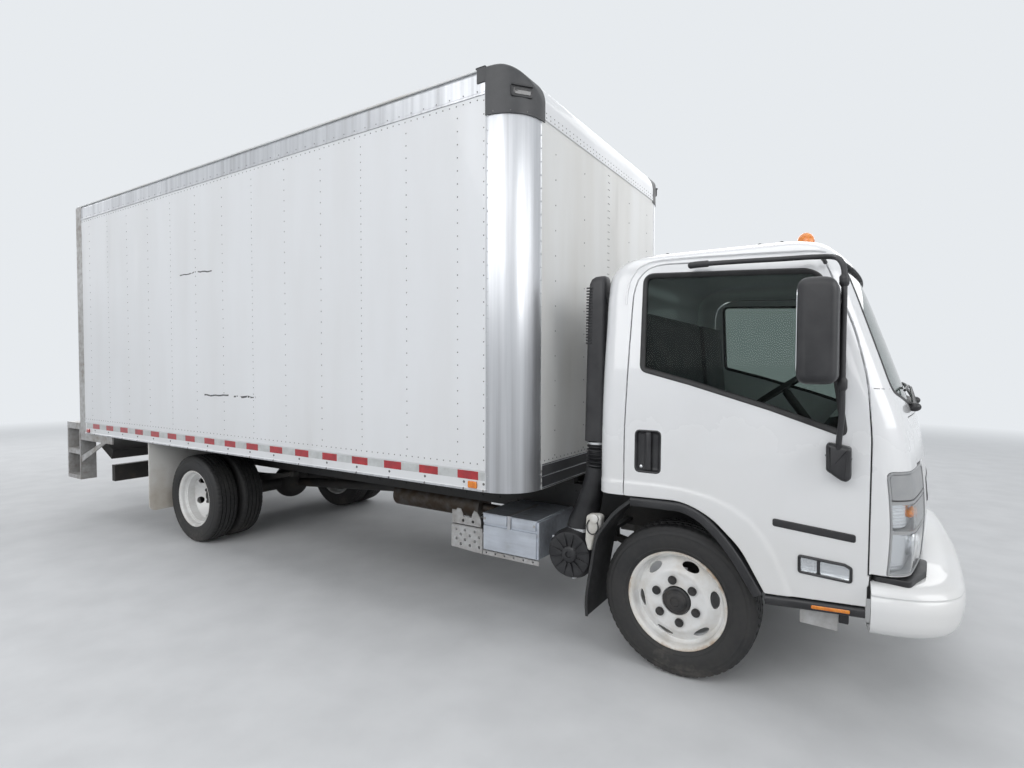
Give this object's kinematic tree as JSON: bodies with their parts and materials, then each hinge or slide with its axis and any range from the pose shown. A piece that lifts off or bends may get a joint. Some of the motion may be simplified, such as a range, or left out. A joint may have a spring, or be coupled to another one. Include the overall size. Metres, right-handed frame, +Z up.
{
  "type": "box truck",
  "caption": "Cabover box truck with a riveted van body, tilting cab, opening doors, steered front axle, twin rear wheels and a tuck-under lift gate.",
  "frame": {"origin": "on the ground, midway along and across the overall box", "axes": "+X forward, +Y to the left, +Z up"},
  "size_m": [8.01, 2.67, 3.3499],
  "materials": {
    "white_paint": "gloss white paint",
    "body_white": "white coil-coated aluminium sheet, scratched",
    "bright_aluminium": "bright extruded and rolled aluminium",
    "galvanised_steel": "galvanised steel",
    "chassis_black": "black chassis paint with road dust",
    "cast_iron": "raw castings",
    "exhaust_steel": "heat-stained steel",
    "black_plastic": "grained black plastic",
    "white_plastic": "white plastic",
    "tinted_glass": "tinted safety glass",
    "lamp_lens": "clear and amber lamp lenses",
    "seat_fabric": "grey cloth",
    "wheel_white": "white powder coat",
    "tyre_rubber": "black tyre rubber"
  },
  "bodies": {
    "chassis": {"frame_rails": "chassis_black", "engine_block": "cast_iron", "front_axle": "chassis_black", "rear_axle": "chassis_black", "leaf_springs": "chassis_black", "propeller_shaft": "chassis_black", "exhaust": "exhaust_steel", "fuel_tank": "chassis_black", "battery_box": "galvanised_steel", "air_cleaner": "black_plastic", "washer_bottle": "white_plastic", "front_mudguards": "black_plastic", "front_bumper": "white_paint", "rear_mudflaps": "white_plastic", "box_floor": "chassis_black", "box_sides": "body_white", "bottom_rails": "body_white", "top_rails": "bright_aluminium", "box_front_wall": "body_white", "corner_posts": "bright_aluminium", "corner_caps": "black_plastic", "box_roof": "body_white", "rear_frame": "galvanised_steel", "rollup_door": "body_white", "rear_steps": "galvanised_steel", "gate_frame": "chassis_black"},
    "gate_arms": {"gate_arms": "chassis_black"},
    "gate_platform": {"gate_platform": "chassis_black"},
    "cab": {"cab_shell": "white_paint", "front_panel": "white_paint", "cab_windows": "tinted_glass", "arch_flares": "black_plastic", "cab_lamps": "lamp_lens", "seats": "seat_fabric", "dashboard": "black_plastic", "intake_snorkel": "black_plastic"},
    "steering_wheel": {"steering_wheel": "black_plastic"},
    "door_right": {"door_right": "white_paint", "door_glass_right": "tinted_glass", "mirror_right": "black_plastic"},
    "door_left": {"door_left": "white_paint", "door_glass_left": "tinted_glass", "mirror_left": "black_plastic"},
    "knuckle_right": {"knuckle_right": "cast_iron"},
    "knuckle_left": {"knuckle_left": "cast_iron"},
    "tie_rod": {"tie_rod": "chassis_black"},
    "front_wheel_right": {"front_wheel_right": "wheel_white", "front_tyre_right": "tyre_rubber"},
    "front_wheel_left": {"front_wheel_left": "wheel_white", "front_tyre_left": "tyre_rubber"},
    "rear_wheel_right": {"rear_wheels_right": "wheel_white", "rear_tyres_right": "tyre_rubber"},
    "rear_wheel_left": {"rear_wheels_left": "wheel_white", "rear_tyres_left": "tyre_rubber"}
  },
  "joints": [
    {"name": "cab_tilt", "type": "hinge", "parent": "chassis", "child": "cab", "pos_m": [3.755, 0, 0.8], "axis": [0, 1, 0], "range_deg": [0, 45]},
    {"name": "door_right_hinge", "type": "hinge", "parent": "cab", "child": "door_right", "pos_m": [3.616, -1.031, 1.2], "axis": [0, 0, 1], "range_deg": [0, 70]},
    {"name": "door_left_hinge", "type": "hinge", "parent": "cab", "child": "door_left", "pos_m": [3.616, 1.031, 1.2], "axis": [0, 0, -1], "range_deg": [0, 70]},
    {"name": "kingpin_left", "type": "hinge", "parent": "chassis", "child": "knuckle_left", "pos_m": [2.755, 0.72, 0.4055], "axis": [0, 0, 1], "range_deg": [-38, 38]},
    {"name": "kingpin_right", "type": "hinge", "parent": "chassis", "child": "knuckle_right", "pos_m": [2.755, -0.72, 0.4055], "axis": [0, 0, 1], "range_deg": [-38, 38]},
    {"name": "tie_rod_end", "type": "hinge", "parent": "knuckle_left", "child": "tie_rod", "pos_m": [2.585, 0.72, 0.3665], "axis": [0, 0, 1], "range_deg": [-38, 38]},
    {"name": "front_left_spin", "type": "hinge", "parent": "knuckle_left", "child": "front_wheel_left", "pos_m": [2.755, 0.8325, 0.4055], "axis": [0, 1, 0], "continuous": true},
    {"name": "front_right_spin", "type": "hinge", "parent": "knuckle_right", "child": "front_wheel_right", "pos_m": [2.755, -0.8325, 0.4055], "axis": [0, 1, 0], "continuous": true},
    {"name": "rear_left_spin", "type": "hinge", "parent": "chassis", "child": "rear_wheel_left", "pos_m": [-1.715, 0.8255, 0.4055], "axis": [0, 1, 0], "continuous": true},
    {"name": "rear_right_spin", "type": "hinge", "parent": "chassis", "child": "rear_wheel_right", "pos_m": [-1.715, -0.8255, 0.4055], "axis": [0, 1, 0], "continuous": true},
    {"name": "gate_lift", "type": "hinge", "parent": "chassis", "child": "gate_arms", "pos_m": [-2.945, 0, 0.52], "axis": [0, -1, 0], "range_deg": [0, 22]},
    {"name": "gate_level", "type": "hinge", "parent": "gate_arms", "child": "gate_platform", "pos_m": [-3.475, 0, 0.56], "axis": [0, -1, 0], "range_deg": [-22, 0]},
    {"name": "steering_wheel_turn", "type": "hinge", "parent": "cab", "child": "steering_wheel", "pos_m": [3.085, 0.45, 1.5], "axis": [-0.5736, 0, 0.8192], "range_deg": [-700, 700]}
  ],
  "couplings": [
    {"joint": "kingpin_right", "follows": "kingpin_left", "ratio": 1},
    {"joint": "tie_rod_end", "follows": "kingpin_left", "ratio": -1},
    {"joint": "gate_level", "follows": "gate_lift", "ratio": -1},
    {"joint": "steering_wheel_turn", "follows": "kingpin_left", "ratio": 18}
  ]
}
